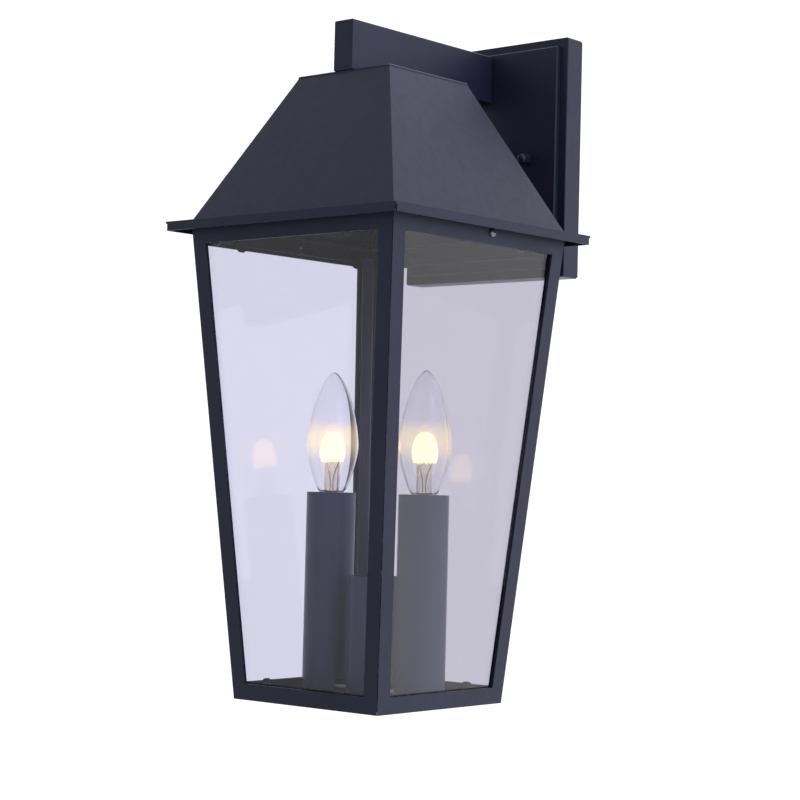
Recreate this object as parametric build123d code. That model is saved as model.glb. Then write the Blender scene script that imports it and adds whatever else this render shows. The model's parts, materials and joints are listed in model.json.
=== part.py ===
from build123d import *
import os
from math import atan, cos, sqrt

# Outdoor wall lantern: a stepped wall plate, a box-section arm, a pyramid hood with a brim, and a
# tapered glazed cage that holds two candle lamps. Millimetres, +Z up, the wall is the plane y = 0,
# the lantern stands out along -Y, and the origin is the middle of the wall plate's back.

# ---- wall plate and mounting bar
plate_width = 141.0
plate_height = 165.0
gasket_thick = 2.0
gasket_inset = 1.0
gasket_width = 8.0
pan_depth = 16.0
pan_wall = 1.5
panel_margin = 6.0
panel_raise = 4.0
panel_edge = 0.8
bar_length = 110.0
bar_height = 20.0
bar_thick = 2.0
bar_corner = 4.0
box_slot_spacing = 79.4
box_slot_length = 15.0
box_slot_width = 5.0
bar_centre_hole = 10.5
stud_spacing = 80.0
stud_dia = 4.2
stud_hole_dia = 4.8
stud_grip = 5.0
nut_flats = 8.0
stud_nut_thick = 3.0
cap_nut_skirt = 4.0
cap_nut_bevel = 0.5
cap_nut_dome_inset = 0.3
cap_nut_bore_spare = 0.8
cap_nut_dome_rise = 2.7
nut_running_gap = 0.05
cap_nut_seat = 0.05
ground_screw_x = 22.0
ground_screw_dia = 3.2
ground_screw_head = 7.7
ground_screw_head_thick = 2.0
pan_corner = 1.6

# ---- arm
arm_width = 16.0
arm_height = 33.0
arm_wall = 1.5
arm_edge = 0.5
arm_drop = 7.5
arm_overhang = 0.5
root_block_length = 12.0
root_wire_hole = 9.0
arm_screw_dia = 4.0
arm_screw_offset = 10.0
arm_screw_head_thick = 2.6
cap_thick = 1.5

# ---- hood
reach = 128.5
hood_base_half = 88.5
hood_top_half = 40.0
hood_height = 99.5
hood_sheet = 1.2
hood_cap_thick = 1.5
hood_cap_edge = 0.6
brim_half = 100.0
brim_inner_half = 80.6
brim_sheet = 1.2
brim_lip = 6.0
brim_notch = 1.4
nipple_dia = 9.5
nipple_bore = 6.4
nipple_nut_flats = 12.4
nipple_nut_thick = 5.0
nipple_end = 1.5
nipple_washer_dia = 19.0
nipple_washer_thick = 1.0

# ---- cage
cage_drop = 306.0
cage_eave_half = 87.6
cage_base_half = 62.4
cage_top_gap = 0.3
frame_depth = 2.0
seam_gap = 0.3
stile = 11.7
top_rail_show = 8.2
bottom_rail = 10.8
pane_thick = 2.3
pane_gap = 0.2
pane_corner_gap = 0.3
pane_top_overlap = 3.0
pane_bottom_overlap = 4.0
clip_width = 8.0
clip_sheet = 0.8
clip_foot = 2.4
clip_reach = 5.2
clip_gap = 0.1
clip_foot_gap = 0.7
top_clip_places = (-70.0, 46.0)
bottom_clip_places = (-35.0, 35.0)
floor_lift = 2.0
floor_thick = 1.5
floor_gap = 0.3
drain_hole_dia = 5.0
drain_hole_place = 44.0

# ---- screws that hold the cage under the hood
cage_screw_drop = 5.5
cage_screw_setback = 9.5
cage_screw_dia = 3.0
cage_screw_head = 5.6
cage_screw_head_thick = 2.0
cage_screw_head_round = 0.8
cage_screw_spare = 1.0
cage_nut_flats = 5.5
cage_nut_thick = 2.4
slip_gap = 0.3
tab_width = 16.0
tab_thick = 1.5
tab_inset = 4.1
tab_drop = 9.2

# ---- candle lamps
lamp_spacing = 79.4
lamp_setback = 3.5
sleeve_dia = 33.0
sleeve_wall = 1.3
sleeve_top = 136.5
column_top = 82.0
column_lid_drop = 1.2
column_lid_thick = 1.2
ring_thick = 1.5
ring_drop = 2.5
strap_width = 14.0
strap_thick = 2.0
strap_margin = 12.0
strap_screw_dia = 3.0
strap_screw_head = 5.4
strap_screw_head_thick = 1.8
strap_screw_head_round = 0.7
lead_line = 3.8
holder_dia = 20.4
holder_length = 38.0
holder_below_top = 1.0
holder_bevel = 1.2
holder_bore = 12.6
holder_bore_depth = 26.0
holder_shell_wall = 0.2
holder_shell_length = 18.0
holder_shell_drop = 2.0
leg_width = 10.0
leg_thick = 1.5
leg_setback = 8.0
leg_reach = 7.5
wire_notch = 8.0
wire_notch_height = 7.0

# ---- candle bulbs
bulb_glass_half = 17.5
bulb_glass_height = 81.0
bulb_widest = 31.0
bulb_neck_half = 5.8
bulb_glass_wall = 0.7
bulb_base_dia = 11.7
bulb_base_length = 16.0
bulb_thread_turns = 5
bulb_thread_pitch = 2.5
bulb_thread_drop = 3.0
bulb_thread_width = 0.9
bulb_thread_depth = 0.45
bulb_contact_dia = 5.0
bulb_contact_length = 3.0
bulb_button_thick = 0.8
bulb_insulator_inset = 0.6
bulb_stem_dia = 9.0
bulb_stem_tip_dia = 3.8
bulb_stem_height = 23.0
filament_height = 33.0
filament_half = 6.0
filament_wire = 0.7
filament_foot = 1.0
filament_shoulder = 6.0
filament_peak = 3.0
filament_bend = 1.5

# ---- wiring
lead_dia = 1.8
lead_pack = 1.7
lead_back_row = 1.9
lead_front_row = 0.9
lead_rise_y = 9.0
lead_bend = 5.5
lead_wall_bend = 3.5
lead_arm_bend = 5.0
lead_drop_bend = 7.0
lead_tight_bend = 3.0
lead_foot_bend = 4.0
lead_nipple_end = 12.0
lead_splice_straight = 8.0
lead_splice_gap = 1.0
lead_lift = 0.2
splice_dia = 7.0
splice_length = 20.0
splice_spread = 9.0
splice_top = 6.0
splice_bore_gap = 0.1
lamp_lead_gap = 1.3
lamp_lead_rise = 6.0
lamp_lead_end_x = 2.5
lamp_lead_end_y = 1.0
lamp_lead_end_rise = 18.0
holder_lead_x = 7.0
holder_lead_pitch = 2.6
holder_lead_rise = 22.0
lead_cross_z = -36.0
channel_width = 8.0
channel_depth = 6.0
channel_wall = 0.8
channel_clear = 4.6
channel_top_drop = 7.0
channel_floor_gap = 9.0
channel_bend = 1.2
channel_middle_shift = 0.3

# ---- levels and places worked out from the sizes above
pan_front = gasket_thick + pan_depth
panel_front = pan_front + panel_raise
arm_top = plate_height / 2 - arm_drop
arm_bottom = arm_top - arm_height
arm_mid = arm_top - arm_height / 2
arm_front = reach + hood_top_half + arm_overhang
hood_top = arm_bottom
hood_base = hood_top - hood_height
brim_under = hood_base - brim_sheet
brim_bottom = hood_base - brim_lip
cage_top = brim_under - cage_top_gap
cage_bottom = brim_bottom - cage_drop
taper = (cage_eave_half - cage_base_half) / cage_drop
lean = atan(taper)
window_top = brim_bottom - top_rail_show
window_bottom = cage_bottom + bottom_rail
pane_out = frame_depth + pane_gap
pane_in = pane_out + pane_thick
screw_z = brim_under - cage_screw_drop
screw_y = -reach + cage_screw_setback
floor_top = cage_bottom + floor_lift + floor_thick
strap_top = floor_top + strap_thick
lamp_x = lamp_spacing / 2
lamp_y = -reach + lamp_setback
strap_screw_x = lamp_x / 2
sleeve_end = cage_bottom + sleeve_top
column_end = cage_bottom + column_top
holder_end = sleeve_end - holder_below_top
holder_base = holder_end - holder_length
head_seat = taper * cage_screw_head / 2
lead_z = strap_top + lead_dia / 2 + leg_thick + lead_lift
SIDES = ("front", "right", "rear", "left")
HANDS = {"left": -1, "right": 1}


def cage_half(z):
    """Half the cage's outer width at height z."""
    return cage_base_half + (z - cage_bottom) * taper


def block(x0, x1, y0, y1, z0, z1):
    """A box between two corners."""
    middle = Pos((x0 + x1) / 2, (y0 + y1) / 2, (z0 + z1) / 2)
    return middle * Box(x1 - x0, y1 - y0, z1 - z0)


def rod(x, y, z0, z1, dia):
    """An upright cylinder."""
    return Pos(x, y, (z0 + z1) / 2) * Cylinder(dia / 2, z1 - z0)


def tube(x, y, z0, z1, outer, inner):
    """An upright tube."""
    return rod(x, y, z0, z1, outer) - rod(x, y, z0 - 1, z1 + 1, inner)


def rod_y(x, z, y0, y1, dia):
    """A cylinder along Y."""
    return Pos(x, (y0 + y1) / 2, z) * Rot(90, 0, 0) * Cylinder(dia / 2, y1 - y0)


def rod_x(y, z, x0, x1, dia):
    """A cylinder along X."""
    return Pos((x0 + x1) / 2, y, z) * Rot(0, 90, 0) * Cylinder(dia / 2, x1 - x0)


def hexagon(flats, thick):
    """A hexagonal prism on the XY plane, with two flats facing along X."""
    return extrude(Rot(0, 0, 30) * RegularPolygon(flats / 2, 6, major_radius=False), thick)


def frustum(half_low, half_high, z0, z1):
    """A square pyramid stump about the lantern's axis: one trapezoid prism crossed with another."""
    corners = ((-half_low, z0), (half_low, z0), (half_high, z1), (-half_high, z1))
    face = make_face(Plane.XZ * Polyline(*corners, close=True))
    prism = extrude(face, max(half_low, half_high) + 1, both=True)
    return Pos(0, -reach, 0) * (prism & Rot(0, 0, 90) * prism)


def cage_skin(outer_inset, inner_inset, z0, z1):
    """The cage's four walls between two insets from its outer faces."""
    outer = frustum(cage_half(z0) - outer_inset, cage_half(z1) - outer_inset, z0, z1)
    a, b = z0 - 1, z1 + 1
    return outer - frustum(cage_half(a) - inner_inset, cage_half(b) - inner_inset, a, b)


def front_wedge(gap):
    """The quarter of the plan that belongs to the front wall, less half a gap at each corner."""
    far = 2 * cage_eave_half
    tip = -reach - gap / sqrt(2)
    plan = Polyline((0, tip), (far, tip - far), (-far, tip - far), close=True)
    return Pos(0, 0, cage_bottom - 5) * extrude(make_face(plan), cage_drop + 30)


def front_trapezoid(z0, z1, inset):
    """A prism along Y whose sides follow the cage's edges at an inset."""
    low, high = cage_half(z0) - inset, cage_half(z1) - inset
    face = Plane.XZ * Polyline((-low, z0), (low, z0), (high, z1), (-high, z1), close=True)
    return Pos(0, -reach, 0) * extrude(make_face(face), reach)


def turned(shape, side):
    """A front-wall piece turned to another side of the cage."""
    quarter = SIDES.index(side)
    return Pos(0, -reach, 0) * Rot(0, 0, 90 * quarter) * Pos(0, reach, 0) * shape


# ---------------------------------------------------------------- wall side

def wall_gasket():
    w, h = plate_width / 2 - gasket_inset, plate_height / 2 - gasket_inset
    outer = block(-w, w, -gasket_thick, 0, -h, h)
    w, h = w - gasket_width, h - gasket_width
    return outer - block(-w, w, -gasket_thick - 1, 1, -h, h)


def crossbar():
    """A cross of two straps: the upright one takes the box screws, the level one the studs."""
    level = block(-bar_length / 2, bar_length / 2, -bar_thick, 0, -bar_height / 2, bar_height / 2)
    upright = Rot(0, 90, 0) * level
    bar = fillet(level.edges().filter_by(Axis.Y), bar_corner)
    bar += fillet(upright.edges().filter_by(Axis.Y), bar_corner)
    outline = Plane.XZ * SlotOverall(box_slot_length, box_slot_width, rotation=90)
    slot = extrude(outline, bar_thick + 1, both=True)
    for sign in (-1, 1):
        bar -= Pos(0, 0, sign * box_slot_spacing / 2) * slot
        bar -= rod_y(sign * stud_spacing / 2, 0, -bar_thick - 1, 1, stud_dia)
    bar -= rod_y(0, 0, -bar_thick - 1, 1, bar_centre_hole)
    return bar - rod_y(ground_screw_x, 0, -bar_thick - 1, 1, ground_screw_dia)


def crossbar_studs():
    end = panel_front + stud_grip
    return [rod_y(sign * stud_spacing / 2, 0, -end, 0, stud_dia) for sign in (-1, 1)]


def stud_nuts():
    """A plain nut on each stud locks it to the crossbar."""
    nut = hexagon(nut_flats, stud_nut_thick) - rod(0, 0, -1, stud_nut_thick + 1, stud_dia)
    nut = Pos(0, -bar_thick, 0) * Rot(90, 0, 0) * nut
    return [Pos(sign * stud_spacing / 2, 0, 0) * nut for sign in (-1, 1)]


def ground_screw():
    shank = rod_y(ground_screw_x, 0, -bar_thick, 0, ground_screw_dia)
    top = -bar_thick - ground_screw_head_thick
    return shank + rod_y(ground_screw_x, 0, top, -bar_thick, ground_screw_head)


def plate_holes():
    """Everything that passes through the pan's face and the raised panel."""
    near, far = -panel_front - 1, -pan_front + pan_wall + 1
    holes = [rod_y(sign * stud_spacing / 2, 0, near, far, stud_hole_dia) for sign in (-1, 1)]
    for sign in (-1, 1):
        holes.append(rod_y(0, arm_mid + sign * arm_screw_offset, near, far, arm_screw_dia))
    holes.append(rod_y(0, arm_mid, near, far, root_wire_hole))
    return holes


def back_pan():
    w, h = plate_width / 2, plate_height / 2
    pan = block(-w, w, -pan_front, -gasket_thick, -h, h)
    pan = fillet(pan.edges().filter_by(Axis.Y), pan_corner)
    pan = fillet(pan.faces().sort_by(Axis.Y)[0].edges(), pan_corner / 2)
    w, h = w - pan_wall, h - pan_wall
    pan -= block(-w, w, -pan_front + pan_wall, 0, -h, h)
    for hole in plate_holes():
        pan -= hole
    return pan


def front_panel():
    w, h = plate_width / 2 - panel_margin, plate_height / 2 - panel_margin
    panel = block(-w, w, -panel_front, -pan_front, -h, h)
    panel = chamfer(panel.faces().sort_by(Axis.Y)[0].edges(), panel_edge)
    for hole in plate_holes():
        panel -= hole
    return panel


def cap_nut(hand):
    """A hexagon skirt with a domed cap, bored blind to run on its stud."""
    bore_end = stud_grip + cap_nut_bore_spare
    skirt = chamfer(hexagon(nut_flats, cap_nut_skirt).edges().group_by(Axis.Z)[-1], cap_nut_bevel)
    radius = nut_flats / 2 - cap_nut_dome_inset
    dome = rod(0, 0, 0, bore_end, 2 * radius) + Pos(0, 0, bore_end) * Sphere(radius)
    dome &= rod(0, 0, 0, bore_end + cap_nut_dome_rise, 2 * radius)
    nut = skirt + dome - rod(0, 0, -1, bore_end, stud_dia + 2 * nut_running_gap)
    return Pos(HANDS[hand] * stud_spacing / 2, -panel_front - cap_nut_seat, 0) * Rot(90, 0, 0) * nut


def arm_tube():
    w = arm_width / 2
    arm = block(-w, w, -arm_front, -panel_front, arm_bottom, arm_top)
    arm = chamfer(arm.edges().filter_by(Axis.Y), arm_edge)
    w -= arm_wall
    arm -= block(-w, w, -arm_front - 1, 0, arm_bottom + arm_wall, arm_top - arm_wall)
    return arm - rod(0, -reach, arm_bottom - 1, arm_mid, nipple_dia)


def arm_end_cap():
    w = arm_width / 2 - arm_wall
    return block(-w, w, -arm_front, -arm_front + cap_thick, arm_bottom + arm_wall, arm_top - arm_wall)


def arm_root_block():
    """A block welded in the arm's root, tapped for the screws that come from inside the pan."""
    w = arm_width / 2 - arm_wall
    far = -panel_front - root_block_length
    root = block(-w, w, far, -panel_front, arm_bottom + arm_wall, arm_top - arm_wall)
    for sign in (-1, 1):
        root -= rod_y(0, arm_mid + sign * arm_screw_offset, far - 1, 0, arm_screw_dia)
    return root - rod_y(0, arm_mid, far - 1, 0, root_wire_hole)


def arm_screws():
    screws = []
    seat = -pan_front + pan_wall
    for sign in (-1, 1):
        z = arm_mid + sign * arm_screw_offset
        shank = rod_y(0, z, -panel_front - root_block_length + 1, seat, arm_screw_dia)
        screws.append(shank + rod_y(0, z, seat, seat + arm_screw_head_thick, 2 * arm_screw_dia))
    return screws


# ---------------------------------------------------------------- hood

def hood_nipple():
    low = hood_top - hood_cap_thick - nipple_washer_thick - nipple_nut_thick - nipple_end
    high = arm_bottom + arm_wall + nipple_nut_thick + nipple_end
    return tube(0, -reach, low, high, nipple_dia, nipple_bore)


def nipple_nuts():
    nut = hexagon(nipple_nut_flats, nipple_nut_thick)
    nut -= rod(0, 0, -1, nipple_nut_thick + 1, nipple_dia)
    under = hood_top - hood_cap_thick - nipple_washer_thick - nipple_nut_thick
    return [Pos(0, -reach, z) * nut for z in (arm_bottom + arm_wall, under)]


def nipple_washer():
    high = hood_top - hood_cap_thick
    return tube(0, -reach, high - nipple_washer_thick, high, nipple_washer_dia, nipple_dia)


def hood_shell():
    top = hood_top - hood_cap_thick
    slope = (hood_base_half - hood_top_half) / (hood_height - hood_cap_thick)
    wall = hood_sheet * sqrt(1 + slope ** 2)
    outer = frustum(hood_base_half, hood_top_half, hood_base, top)
    inner = frustum(hood_base_half - wall + slope, hood_top_half - wall - slope,
                    hood_base - 1, top + 1)
    return outer - inner


def hood_cap():
    w = hood_top_half
    cap = block(-w, w, -reach - w, -reach + w, hood_top - hood_cap_thick, hood_top)
    cap = chamfer(cap.faces().sort_by(Axis.Z)[-1].edges(), hood_cap_edge)
    return cap - rod(0, -reach, hood_top - hood_cap_thick - 1, hood_top + 1, nipple_dia)


def brim():
    """A flat flange with its outer edge turned down, notched at the corners where the folds meet."""
    w = brim_half
    ring = block(-w, w, -reach - w, -reach + w, brim_bottom, hood_base)
    w -= brim_sheet
    ring -= block(-w, w, -reach - w, -reach + w, brim_bottom - 1, brim_under)
    w = brim_inner_half
    ring -= block(-w, w, -reach - w, -reach + w, brim_bottom - 1, hood_base + 1)
    for sx in (-1, 1):
        for sy in (-1, 1):
            x, y = sx * brim_half, -reach + sy * brim_half
            n = brim_notch
            ring -= block(x - n, x + n, y - n, y + n, brim_bottom - 1, hood_base - n)
    return ring


def hood_tabs():
    """Two tabs under the brim, each with a slot open at the bottom for a cage screw."""
    tabs = []
    slot = cage_screw_dia / 2 + slip_gap
    for sign in (-1, 1):
        x = sign * (cage_half(cage_top) - tab_inset)
        lo, hi = sorted((x, x - sign * tab_thick))
        near, far, low = screw_y - tab_width / 2, screw_y + tab_width / 2, brim_under - tab_drop
        tab = block(lo, hi, near, far, low, brim_under)
        tab -= rod_x(screw_y, screw_z, lo - 1, hi + 1, 2 * slot)
        tab -= block(lo - 1, hi + 1, screw_y - slot, screw_y + slot, low - 1, screw_z)
        tabs.append(tab)
    return tabs


# ---------------------------------------------------------------- cage

def side_frame(side):
    """One wall of the cage: two leaning stiles and two rails, mitred to its neighbours."""
    wall = cage_skin(0, frame_depth, cage_bottom, cage_top) & front_wedge(seam_gap)
    wall -= front_trapezoid(window_bottom, window_top, stile)
    if side in HANDS:
        x = HANDS[side] * cage_screw_setback
        wall -= rod_y(x, screw_z, -2 * reach, -reach, cage_screw_dia + 2 * slip_gap)
    return turned(wall, side)


def pane(side):
    low, high = window_bottom - pane_bottom_overlap, window_top + pane_top_overlap
    glass = cage_skin(pane_out, pane_in, low, high)
    return turned(glass & front_trapezoid(low, high, pane_in + pane_corner_gap), side)


def wall_plane(x, z):
    """A plane on the front wall's outer face at (x, z): local Y runs up it, local Z into it."""
    inward = Vector(0, cos(lean), taper * cos(lean))
    return Plane(origin=(x, -reach - cage_half(z), z), x_dir=(-1, 0, 0), z_dir=inward)


def glass_clips(side):
    """Small cranked tabs that hold the pane's top and bottom edges against the frame."""
    deep = [inset * cos(lean) for inset in (frame_depth, pane_in + clip_gap)]
    back = deep[1] + clip_sheet
    clips = []
    edges = ((window_top + pane_top_overlap, 1, top_clip_places),
             (window_bottom - pane_bottom_overlap, -1, bottom_clip_places))
    for edge, up, places in edges:
        for x in places:
            w = clip_width / 2
            foot_lo, foot_hi = sorted((up * clip_foot_gap, up * clip_foot))
            tab_lo, tab_hi = sorted((-up * clip_reach, up * clip_foot))
            clip = block(-w, w, foot_lo, foot_hi, deep[0], back)
            tab = block(-w, w, tab_lo, tab_hi, deep[1], back)
            ends = tab.edges().filter_by(Axis.Z).group_by(Axis.Y)[0 if up > 0 else -1]
            clip += fillet(ends, clip_width / 3)
            clips.append(turned(wall_plane(x, edge) * clip, side))
    return clips


def floor_plate():
    z = floor_top - floor_thick
    w = cage_half(z) - frame_depth - floor_gap
    plate = block(-w, w, -reach - w, -reach + w, z, floor_top)
    for sx in (-1, 1):
        for sy in (-1, 1):
            x, y = sx * drain_hole_place, -reach + sy * drain_hole_place
            plate -= rod(x, y, z - 1, floor_top + 1, drain_hole_dia)
        plate -= rod(sx * strap_screw_x, lamp_y, z - 1, floor_top + 1, strap_screw_dia)
    return plate


def cage_screws():
    seat = cage_half(screw_z) + head_seat
    inner = cage_half(cage_top) - tab_inset - tab_thick - slip_gap - cage_nut_thick - cage_screw_spare
    head = rod_x(screw_y, screw_z, seat, seat + cage_screw_head_thick, cage_screw_head)
    head = fillet(head.faces().sort_by(Axis.X)[-1].edges(), cage_screw_head_round)
    screw = head + rod_x(screw_y, screw_z, inner, seat, cage_screw_dia)
    return [screw, mirror(screw, Plane.YZ)]


def cage_screw_nuts():
    """The nuts that draw the tabs against the rails; they stay on the screws."""
    nut = hexagon(cage_nut_flats, cage_nut_thick) - rod(0, 0, -1, cage_nut_thick + 1, cage_screw_dia)
    far = cage_half(cage_top) - tab_inset - tab_thick - slip_gap
    nut = Pos(far, screw_y, screw_z) * Rot(0, -90, 0) * nut
    return [nut, mirror(nut, Plane.YZ)]


# ---------------------------------------------------------------- wiring channel and lamps

def corner_point(z, inward):
    """A point on the rear left corner's diagonal, measured in from where the panes' planes meet."""
    reach_in = cage_half(z) - pane_in - inward / sqrt(2)
    return Vector(-reach_in, -reach + reach_in, z)


def wire_channel():
    """A channel up the rear left corner, open towards the corner, leaning with it."""
    z0 = floor_top + channel_floor_gap
    z1 = cage_top - channel_top_drop
    base, top = corner_point(z0, channel_clear), corner_point(z1, channel_clear)
    w, d, t = channel_width / 2, channel_depth, channel_wall
    outer = make_face(Polyline((0, -w), (d, -w), (d, w), (0, w), close=True))
    outer = fillet(outer.vertices().group_by(Axis.X)[-1], channel_bend)
    inner = make_face(Polyline((-1, t - w), (d - t, t - w), (d - t, w - t), (-1, w - t), close=True))
    profile = Plane(origin=base, x_dir=(1, -1, 0), z_dir=(0, 0, 1)) * (outer - inner)
    rise = top - base
    return extrude(profile, amount=rise.length, dir=rise.normalized())


def notch(x0, x1, y0, y1):
    """The gap in a tube's lower rim that leads pass through."""
    return block(x0, x1, y0, y1, strap_top - 1, strap_top + wire_notch_height)


def column_sleeve():
    """The short tube between the candles that hides the wire joints."""
    column = tube(0, lamp_y, strap_top, column_end, sleeve_dia, sleeve_dia - 2 * sleeve_wall)
    w = wire_notch / 2
    column -= notch(-sleeve_dia, sleeve_dia, lamp_y - lead_line - w, lamp_y - lead_line + w)
    way = Rot(0, 0, 135) * notch(0, sleeve_dia, -w, w)
    return column - Pos(0, lamp_y, 0) * way


def column_lid():
    high = column_end - column_lid_drop
    return rod(0, lamp_y, high - column_lid_thick, high, sleeve_dia - 2 * sleeve_wall)


def lamp_strap():
    half = lamp_x + strap_margin
    strap = block(-half, half, lamp_y - strap_width / 2, lamp_y + strap_width / 2,
                  floor_top, strap_top)
    strap = fillet(strap.edges().filter_by(Axis.Z), strap_width / 3)
    for sign in (-1, 1):
        strap -= rod(sign * strap_screw_x, lamp_y, floor_top - 1, strap_top + 1, strap_screw_dia)
    return strap


def strap_screws():
    screws = []
    for sign in (-1, 1):
        x = sign * strap_screw_x
        head = rod(x, lamp_y, strap_top, strap_top + strap_screw_head_thick, strap_screw_head)
        head = fillet(head.faces().sort_by(Axis.Z)[-1].edges(), strap_screw_head_round)
        screws.append(head + rod(x, lamp_y, floor_top - floor_thick, strap_top, strap_screw_dia))
    return screws


def candle_sleeve(hand):
    x = HANDS[hand] * lamp_x
    sleeve = tube(x, lamp_y, strap_top, sleeve_end, sleeve_dia, sleeve_dia - 2 * sleeve_wall)
    y = lamp_y - lead_line
    lo, hi = sorted((x, x - HANDS[hand] * sleeve_dia))
    return sleeve - notch(lo, hi, y - wire_notch / 2, y + wire_notch / 2)


def sleeve_ring(hand):
    """A flat ring that centres the sleeve on the lamp holder, just below its rim."""
    high = sleeve_end - ring_drop
    return tube(HANDS[hand] * lamp_x, lamp_y, high - ring_thick, high,
                sleeve_dia - 2 * sleeve_wall, holder_dia)


def lamp_holder(hand):
    x = HANDS[hand] * lamp_x
    body = rod(x, lamp_y, holder_base, holder_end, holder_dia)
    body = chamfer(body.faces().sort_by(Axis.Z)[0].edges(), holder_bevel)
    return body - rod(x, lamp_y, holder_end - holder_bore_depth, holder_end + 1, holder_bore)


def holder_shell(hand):
    high = holder_end - holder_shell_drop
    return tube(HANDS[hand] * lamp_x, lamp_y, high - holder_shell_length, high,
                holder_bore, holder_bore - 2 * holder_shell_wall)


def holder_leg(hand):
    """A strip folded twice: a foot on the strap, an upright, and a seat under the lamp holder."""
    x = HANDS[hand] * lamp_x
    w = leg_width / 2
    back = lamp_y + leg_setback
    leg = block(x - w, x + w, back, back + leg_thick, strap_top, holder_base)
    tip = back - leg_reach
    leg += block(x - w, x + w, tip, back + leg_thick, strap_top, strap_top + leg_thick)
    return leg + block(x - w, x + w, tip, back + leg_thick, holder_base - leg_thick, holder_base)


# ---------------------------------------------------------------- bulbs

def candle_outline(inset):
    """The pointed bulb's outline from neck to tip: a swelling arc, then a long curve to the tip."""
    base = holder_end
    wide = bulb_glass_half - inset
    tip = sleeve_end + bulb_glass_height - inset
    middle = sleeve_end + bulb_widest
    neck = Vector(bulb_neck_half - inset, 0, base)
    belly = Vector(wide, 0, middle)
    shoulder = Vector(0.62 * wide, 0, middle + 0.57 * (tip - middle))
    foot = Vector(0.66 * wide, 0, base + 0.24 * (middle - base))
    return Spline(neck, foot, belly, shoulder, Vector(0, 0, tip),
                  tangents=((0.8, 0, 0.6), (-0.75, 0, 0.66)))


def bulb_glass(hand):
    def solid(inset):
        curve = candle_outline(inset)
        axis = Polyline(curve @ 1, (0, 0, holder_end), curve @ 0)
        return revolve(make_face(curve + axis), Axis.Z)
    glass = solid(0) - solid(bulb_glass_wall)
    return Pos(HANDS[hand] * lamp_x, lamp_y, 0) * glass


def bulb_base(hand):
    """The screw base: a threaded shell, an insulator taper and a contact button."""
    high = holder_end
    shell = rod(0, 0, high - bulb_base_length, high, bulb_base_dia)
    w = bulb_thread_width / 2
    for turn in range(bulb_thread_turns):
        z = high - bulb_thread_drop - turn * bulb_thread_pitch
        shell -= tube(0, 0, z - w, z + w, bulb_base_dia + 1, bulb_base_dia - 2 * bulb_thread_depth)
    low = high - bulb_base_length
    button_top = low - bulb_contact_length + bulb_button_thick
    wide = bulb_base_dia / 2 - bulb_insulator_inset
    cone = Pos(0, 0, (low + button_top) / 2) * Cone(bulb_contact_dia / 2, wide, low - button_top)
    button = rod(0, 0, button_top - bulb_button_thick, button_top, bulb_contact_dia)
    return Pos(HANDS[hand] * lamp_x, lamp_y, 0) * (shell + cone + button)


def bulb_stem(hand):
    """The glass stem inside the bulb, from the neck up to the filament's support wires."""
    z0, z1 = holder_end, sleeve_end + bulb_stem_height
    r, tip = bulb_stem_dia / 2, bulb_stem_tip_dia / 2
    outline = Polyline((0, 0, z0), (r, 0, z0), (r, 0, z0 + 0.35 * (z1 - z0)))
    waist = Vector((r + tip) / 2 * 0.78, 0, z0 + 0.55 * (z1 - z0))
    outline += Spline(outline @ 1, waist, Vector(tip, 0, z1), tangents=((0, 0, 1), (0, 0, 1)))
    outline += Polyline((tip, 0, z1), (0, 0, z1), (0, 0, z0))
    stem = revolve(make_face(outline), Axis.Z)
    return Pos(HANDS[hand] * lamp_x, lamp_y, 0) * stem


def bulb_filament(hand):
    """Two support wires and a peaked coil between them."""
    z0, z1 = sleeve_end + bulb_stem_height + filament_wire / 2, sleeve_end + filament_height
    h, side = filament_half, z1 - filament_shoulder
    line = FilletPolyline((-filament_foot, 0, z0), (-h, 0, side), (0, 0, z1 + filament_peak),
                          (h, 0, side), (filament_foot, 0, z0), radius=filament_bend)
    start = Plane(origin=line @ 0, z_dir=line % 0)
    wire = sweep(start * Circle(filament_wire / 2), path=line)
    return Pos(HANDS[hand] * lamp_x, lamp_y, 0) * wire


# ---------------------------------------------------------------- leads

def lead(points, radii):
    """A round lead along straight runs joined by arcs."""
    line = FilletPolyline(*points, radius=radii)
    start = Plane(origin=line @ 0, z_dir=line % 0)
    return sweep(start * Circle(lead_dia / 2), path=line)


def supply_lead(dx, dy):
    """From the wall up behind the plate, along the arm and down through the nipple."""
    rise = -lead_rise_y - dy
    run = arm_mid - dy
    down = -reach + dy
    points = [(dx, 0, -dy), (dx, rise, -dy), (dx, rise, run), (dx, down, run),
              (dx, down, hood_top - lead_nipple_end)]
    radii = [lead_wall_bend, lead_arm_bend, lead_drop_bend]
    if dx:
        side = splice_spread if dx > 0 else -splice_spread
        end = splice_top - splice_length / 2 + lead_splice_gap
        points += [(side, -reach, splice_top + lead_splice_straight), (side, -reach, end)]
        radii += [lead_bend, lead_bend]
    return lead(points, radii)


def splice_connectors():
    """Crimp sleeves that join the supply leads to the lamp leads."""
    low = splice_top - splice_length
    bore = lead_dia + splice_bore_gap
    return [tube(sign * splice_spread, -reach, low, splice_top, splice_dia, bore) for sign in (-1, 1)]


def lamp_lead(sign):
    """From a splice across the hood, down the corner channel, and along the floor to the column."""
    x = sign * splice_spread
    shift = Vector(1, 1, 0).normalized() * (sign * lamp_lead_gap)
    middle = channel_clear + channel_depth / 2 - channel_middle_shift
    top = corner_point(cage_top + lamp_lead_rise, middle) + shift
    foot = corner_point(lead_z, middle) + shift
    end_x, end_y = sign * lamp_lead_end_x, lamp_y + lamp_lead_end_y
    start = splice_top - splice_length / 2 - lead_splice_gap
    points = [(x, -reach, start), (x, -reach, lead_cross_z), tuple(top), tuple(foot),
              (end_x, end_y, lead_z), (end_x, end_y, lead_z + lamp_lead_end_rise)]
    return lead(points, [lead_bend, lead_bend, lead_tight_bend, lead_foot_bend])


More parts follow.
